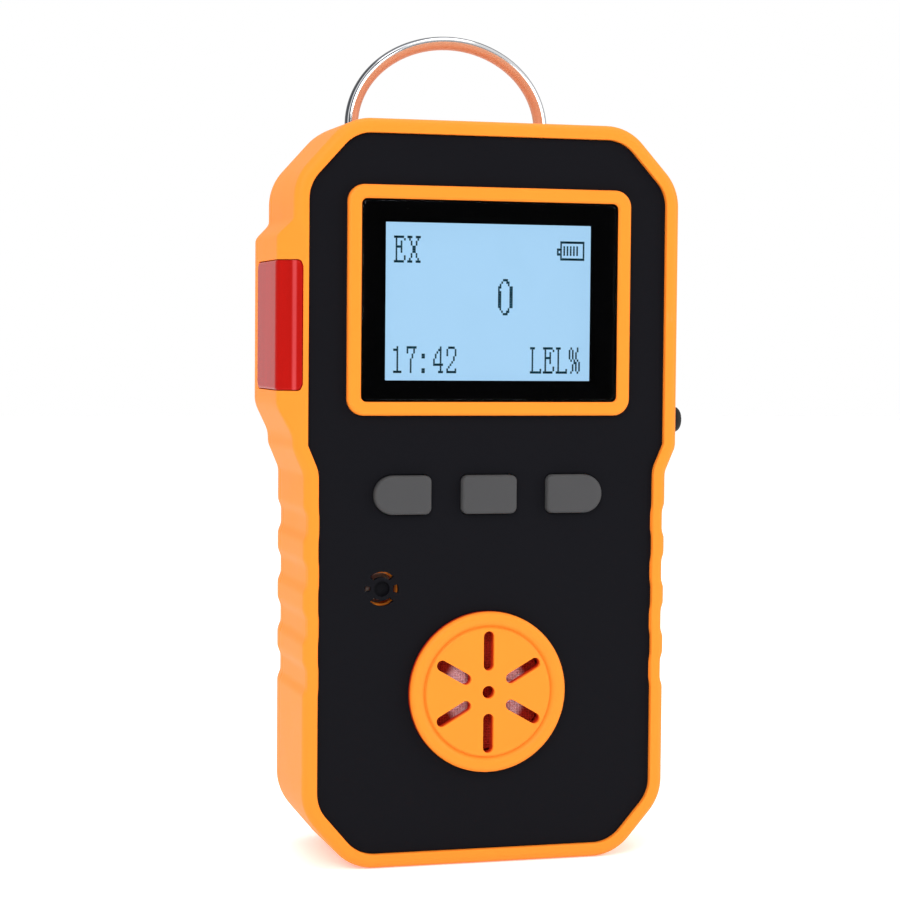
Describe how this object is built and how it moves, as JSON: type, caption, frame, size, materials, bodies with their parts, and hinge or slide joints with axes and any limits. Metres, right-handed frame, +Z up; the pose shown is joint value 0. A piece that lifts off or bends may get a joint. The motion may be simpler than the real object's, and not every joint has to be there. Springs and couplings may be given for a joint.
{
  "type": "portable gas detector",
  "caption": "Hand-held gas detector with a lit display, push keys, a slotted sensor cap, an alarm lamp, a hanging ring and a belt clip.",
  "frame": {"origin": "centre of the flat base, midway between the panel and the back of the housing", "axes": "+Z up, +X to the right as seen from the front, the display faces -Y"},
  "size_m": [0.067, 0.0399, 0.1311],
  "materials": {
    "orange": "satin moulded",
    "panel_black": "fine matt",
    "key_rubber": "matt",
    "black_rubber": "matt",
    "clear_cover": "polished",
    "screen": "lit display",
    "white_plastic": "matt",
    "amber_film": "satin film",
    "red_lens": "polished, translucent",
    "board_green": "solder mask",
    "polished_steel": "polished",
    "sheet_steel": "brushed",
    "screw_steel": "plated",
    "brass": "machined",
    "black_plastic": "satin",
    "battery_wrap": "shrunk film",
    "foam": "open foam",
    "red_wire": "insulation"
  },
  "bodies": {
    "housing": {"front_shell": "orange", "rear_shell": "orange", "shell_seal": "black_rubber", "front_panel": "panel_black", "rear_label": "white_plastic", "display_window": "clear_cover", "window_gasket": "black_rubber", "lcd_glass": "screen", "lcd_backlight": "white_plastic", "lcd_flex": "amber_film", "keypad_web": "key_rubber", "main_pcb": "board_green", "control_chip": "black_plastic", "battery_cell": "battery_wrap", "battery_pad": "foam", "battery_connector": "white_plastic", "battery_lead_red": "red_wire", "battery_lead_black": "black_rubber", "sensor_cap": "orange", "sensor_mesh": "sheet_steel", "sensor_cell": "sheet_steel", "sensor_gasket": "black_rubber", "sensor_socket": "black_plastic", "sensor_board": "board_green", "board_header": "black_plastic", "buzzer": "black_plastic", "buzzer_membrane": "white_plastic", "vibration_motor": "sheet_steel", "motor_cradle": "black_rubber", "alarm_lens": "red_lens", "alarm_led_board": "board_green", "alarm_led_upper": "red_lens", "alarm_led_lower": "red_lens", "charge_socket": "black_plastic", "clip_plate": "sheet_steel", "clip_pin": "screw_steel", "clip_spring": "screw_steel", "clip_insert": "brass", "clip_screw": "screw_steel", "key_switch_left": "black_plastic", "key_switch_middle": "black_plastic", "key_switch_right": "black_plastic", "pcb_screw_1": "screw_steel", "case_screw_1": "screw_steel", "pcb_screw_2": "screw_steel", "case_screw_2": "screw_steel", "pcb_screw_3": "screw_steel", "case_screw_3": "screw_steel", "pcb_screw_4": "screw_steel", "case_screw_4": "screw_steel"},
    "key_left": {"key_left": "key_rubber"},
    "key_middle": {"key_middle": "key_rubber"},
    "key_right": {"key_right": "key_rubber"},
    "hang_ring": {"hang_ring": "polished_steel"},
    "clip_lever": {"clip_lever": "sheet_steel"},
    "port_plug": {"port_plug": "black_rubber"},
    "vibration_weight": {"vibration_weight": "screw_steel"}
  },
  "joints": [
    {"name": "key_left_press", "type": "slide", "parent": "housing", "child": "key_left", "axis": [0, 1, 0], "range_m": [0, 0.0006], "stiffness_N_per_m": 1500, "springref_m": -0.0005},
    {"name": "key_middle_press", "type": "slide", "parent": "housing", "child": "key_middle", "axis": [0, 1, 0], "range_m": [0, 0.0006], "stiffness_N_per_m": 1500, "springref_m": -0.0005},
    {"name": "key_right_press", "type": "slide", "parent": "housing", "child": "key_right", "axis": [0, 1, 0], "range_m": [0, 0.0006], "stiffness_N_per_m": 1500, "springref_m": -0.0005},
    {"name": "ring_swing", "type": "hinge", "parent": "housing", "child": "hang_ring", "pos_m": [0, 0.0125, 0.108], "axis": [-1, 0, 0], "range_deg": [-10, 140]},
    {"name": "clip_open", "type": "hinge", "parent": "housing", "child": "clip_lever", "pos_m": [0, 0.0179, 0.08], "axis": [1, 0, 0], "range_deg": [0, 15], "stiffness_Nm_per_rad": 0.4, "springref_deg": -17.19, "deforming": ["clip_spring"]},
    {"name": "plug_pull", "type": "slide", "parent": "housing", "child": "port_plug", "axis": [1, 0, 0], "range_m": [0, 0.008]},
    {"name": "weight_spin", "type": "hinge", "parent": "housing", "child": "vibration_weight", "pos_m": [0.019, 0.002, 0.0442], "axis": [1, 0, 0], "continuous": true}
  ]
}
